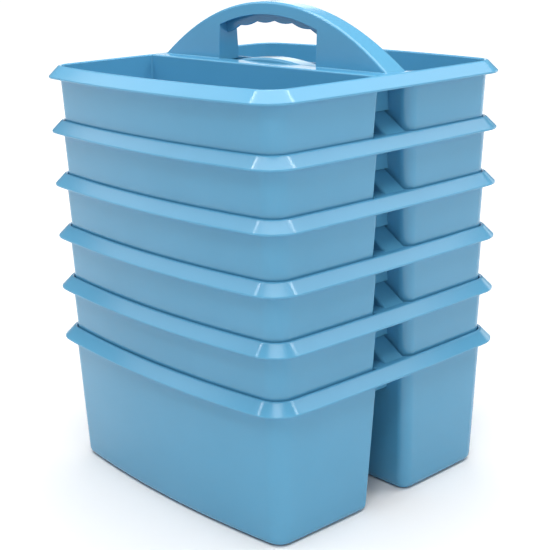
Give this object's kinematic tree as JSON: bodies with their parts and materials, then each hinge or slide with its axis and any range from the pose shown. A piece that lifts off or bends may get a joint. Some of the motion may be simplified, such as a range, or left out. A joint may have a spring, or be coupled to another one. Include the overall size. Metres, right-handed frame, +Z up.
{
  "type": "cleaning caddy stack",
  "caption": "Stack of nested blue moulded plastic cleaning caddies, each with a large front bin, a back bin, a sloping rim and an arched handle with a finger grip.",
  "frame": {"origin": "middle of the footprint, on the floor under the lowest caddy", "axes": "+X along the handles, -Y towards the large front bins, +Z up"},
  "size_m": [0.235, 0.2286, 0.3209],
  "materials": {
    "caddy_1": "satin moulded polypropylene",
    "caddy_2": "satin moulded polypropylene",
    "caddy_3": "satin moulded polypropylene",
    "caddy_4": "satin moulded polypropylene",
    "caddy_5": "satin moulded polypropylene",
    "caddy_6": "satin moulded polypropylene"
  },
  "bodies": {
    "caddy_1": {"caddy_1": "caddy_1"},
    "caddy_2": {"caddy_2": "caddy_2"},
    "caddy_3": {"caddy_3": "caddy_3"},
    "caddy_4": {"caddy_4": "caddy_4"},
    "caddy_5": {"caddy_5": "caddy_5"},
    "caddy_6": {"caddy_6": "caddy_6"}
  },
  "joints": [
    {"name": "lift_2", "type": "slide", "parent": "caddy_1", "child": "caddy_2", "axis": [0, 0, 1], "range_m": [0, 0.105]},
    {"name": "lift_3", "type": "slide", "parent": "caddy_2", "child": "caddy_3", "axis": [0, 0, 1], "range_m": [0, 0.105]},
    {"name": "lift_4", "type": "slide", "parent": "caddy_3", "child": "caddy_4", "axis": [0, 0, 1], "range_m": [0, 0.105]},
    {"name": "lift_5", "type": "slide", "parent": "caddy_4", "child": "caddy_5", "axis": [0, 0, 1], "range_m": [0, 0.105]},
    {"name": "lift_6", "type": "slide", "parent": "caddy_5", "child": "caddy_6", "axis": [0, 0, 1], "range_m": [0, 0.105]}
  ]
}
